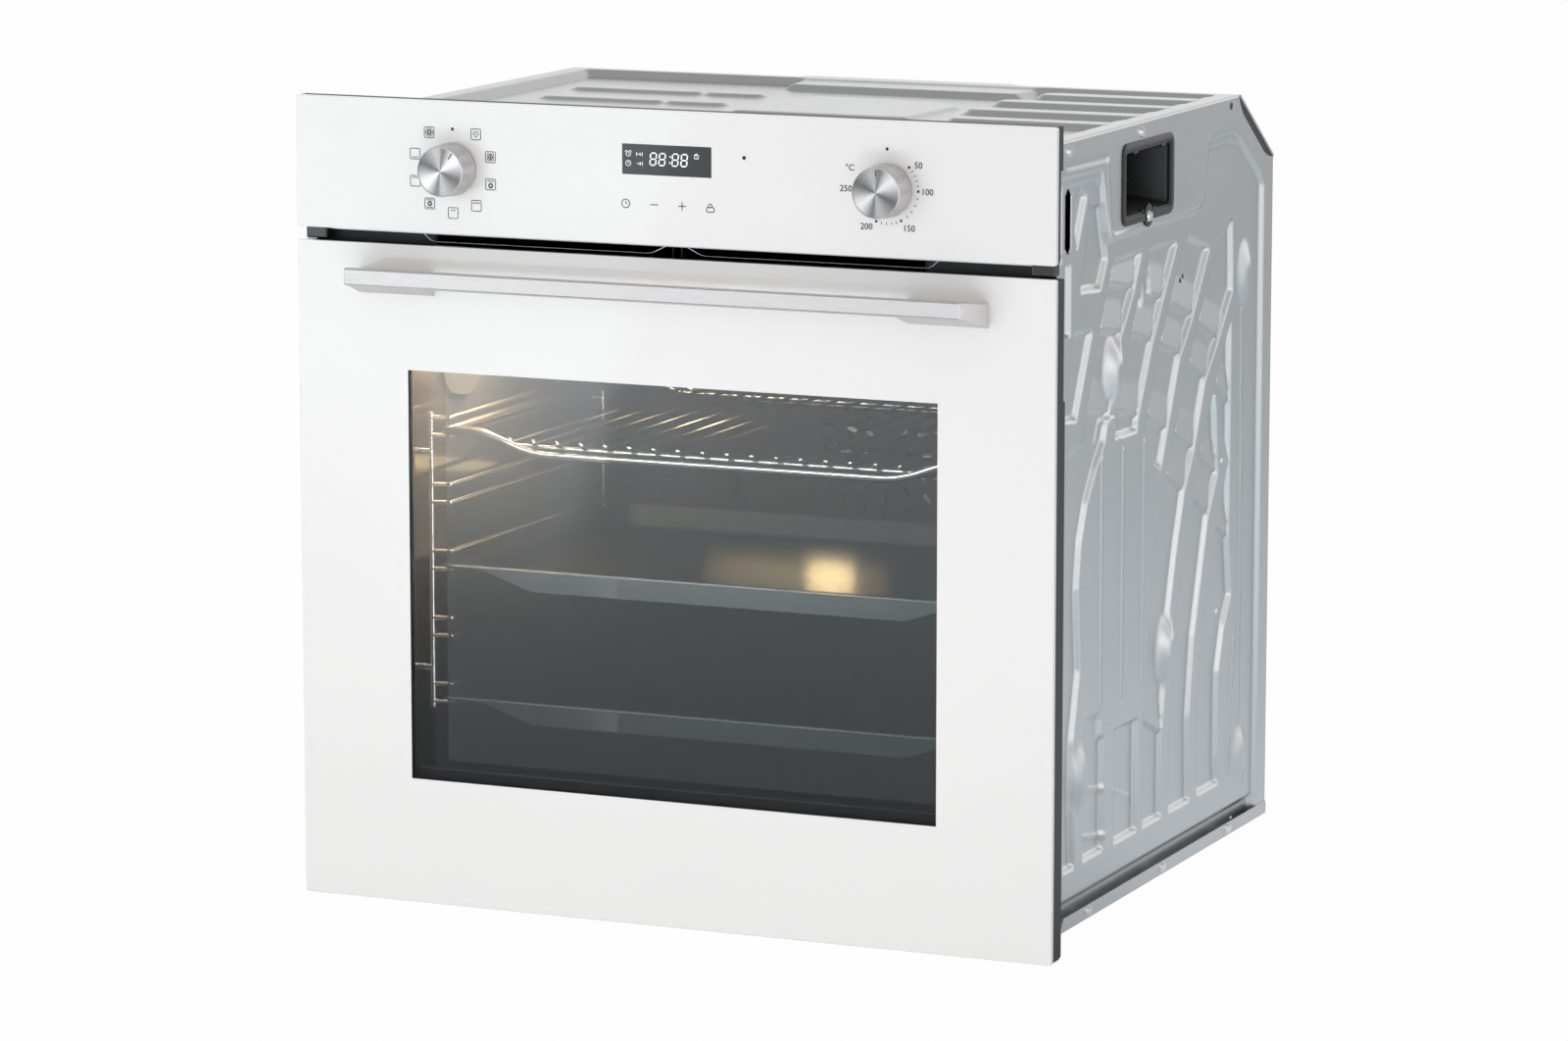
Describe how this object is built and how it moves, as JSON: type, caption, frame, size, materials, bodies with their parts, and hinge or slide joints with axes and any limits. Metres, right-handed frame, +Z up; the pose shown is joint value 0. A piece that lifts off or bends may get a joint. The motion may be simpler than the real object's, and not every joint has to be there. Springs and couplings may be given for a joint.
{
  "type": "wall oven",
  "caption": "Built-in electric wall oven with white glass front, two round knobs, clock display, drop-down windowed door, bar handle and galvanised steel casing",
  "frame": {"origin": "centre of the bounding box footprint, at the lower edge of the door glass", "axes": "+Z up, +X to the right seen from the front, +Y from the front glass to the back, so the door faces -Y"},
  "size_m": [0.595, 0.55, 0.595],
  "materials": {
    "galvanised_steel": "galvanised sheet, matte",
    "zinc_screws": "zinc plated",
    "black_plastic": "matte black",
    "black_steel": "black powder coat",
    "dark_enamel": "glossy vitreous enamel",
    "mineral_wool": "fibrous",
    "black_seal": "matte",
    "white_glass": "back-painted white, glossy",
    "clear_glass": "clear",
    "display_black": "glossy black",
    "circuit_board": "satin",
    "switch_body": "matte",
    "bright_steel": "bright",
    "brushed_metal": "brushed",
    "grey_ring": "satin",
    "motor_steel": "satin",
    "fan_aluminium": "satin",
    "chrome_wire": "polished",
    "heater_steel": "dull",
    "lamp_metal": "satin"
  },
  "bodies": {
    "oven_body": {"side_panel_left": "galvanised_steel", "side_panel_right": "galvanised_steel", "top_panel": "galvanised_steel", "base_pan": "galvanised_steel", "rear_panel": "galvanised_steel", "rear_slope_cover": "galvanised_steel", "case_screws": "zinc_screws", "grip_pocket_left": "black_plastic", "grip_pocket_right": "black_plastic", "front_frame": "black_steel", "frame_kick_plate": "black_steel", "cavity_liner": "dark_enamel", "insulation_blanket": "mineral_wool", "door_gasket": "black_seal", "control_panel_glass": "white_glass", "panel_carrier": "black_plastic", "panel_bracket": "galvanised_steel", "display_module": "display_black", "touch_key_board": "circuit_board", "selector_switch": "switch_body", "thermostat": "switch_body", "knob_rings": "grey_ring", "air_outlet_left": "galvanised_steel", "air_outlet_right": "galvanised_steel", "blower_housing": "galvanised_steel", "blower_motor": "motor_steel", "hinge_bracket_left": "bright_steel", "hinge_bracket_right": "bright_steel", "hinge_pins": "bright_steel", "side_rack_left": "chrome_wire", "side_rack_right": "chrome_wire", "grill_element": "heater_steel", "bottom_element": "heater_steel", "ring_element": "heater_steel", "fan_cover": "dark_enamel", "convection_motor": "motor_steel", "oven_lamp": "lamp_metal", "lamp_glass": "clear_glass", "temperature_probe": "bright_steel", "terminal_box": "black_plastic"},
    "door": {"door_glass_outer": "white_glass", "door_profile_left": "black_steel", "door_profile_right": "black_steel", "door_top_rail": "black_steel", "door_bottom_rail": "black_steel", "door_glass_middle": "clear_glass", "door_glass_inner": "clear_glass", "handle_bar": "brushed_metal", "handle_screws": "zinc_screws", "hinge_ears": "bright_steel"},
    "selector_knob": {"selector_knob": "brushed_metal", "selector_shaft": "bright_steel"},
    "temperature_knob": {"temperature_knob": "brushed_metal", "temperature_shaft": "bright_steel"},
    "blower_rotor": {"blower_rotor": "fan_aluminium"},
    "convection_fan": {"convection_fan": "fan_aluminium"},
    "wire_shelf": {"wire_shelf": "chrome_wire"},
    "baking_tray_upper": {"baking_tray_upper": "dark_enamel"},
    "baking_tray_lower": {"baking_tray_lower": "dark_enamel"}
  },
  "joints": [
    {"name": "door_hinge", "type": "hinge", "parent": "oven_body", "child": "door", "pos_m": [0, -0.229, 0.016], "axis": [1, 0, 0], "range_deg": [0, 90]},
    {"name": "selector_knob_turn", "type": "hinge", "parent": "oven_body", "child": "selector_knob", "pos_m": [-0.17, -0.237, 0.546], "axis": [0, 1, 0], "continuous": true},
    {"name": "temperature_knob_turn", "type": "hinge", "parent": "oven_body", "child": "temperature_knob", "pos_m": [0.17, -0.237, 0.546], "axis": [0, 1, 0], "range_deg": [0, 270]},
    {"name": "blower_spin", "type": "hinge", "parent": "oven_body", "child": "blower_rotor", "pos_m": [0, 0.093, 0.506], "axis": [1, 0, 0], "continuous": true},
    {"name": "fan_spin", "type": "hinge", "parent": "oven_body", "child": "convection_fan", "pos_m": [0, 0.193, 0.29], "axis": [0, 1, 0], "continuous": true},
    {"name": "wire_shelf_slide", "type": "slide", "parent": "oven_body", "child": "wire_shelf", "axis": [0, -1, 0], "range_m": [0, 0.05]},
    {"name": "baking_tray_upper_slide", "type": "slide", "parent": "oven_body", "child": "baking_tray_upper", "axis": [0, -1, 0], "range_m": [0, 0.05]},
    {"name": "baking_tray_lower_slide", "type": "slide", "parent": "oven_body", "child": "baking_tray_lower", "axis": [0, -1, 0], "range_m": [0, 0.05]}
  ]
}
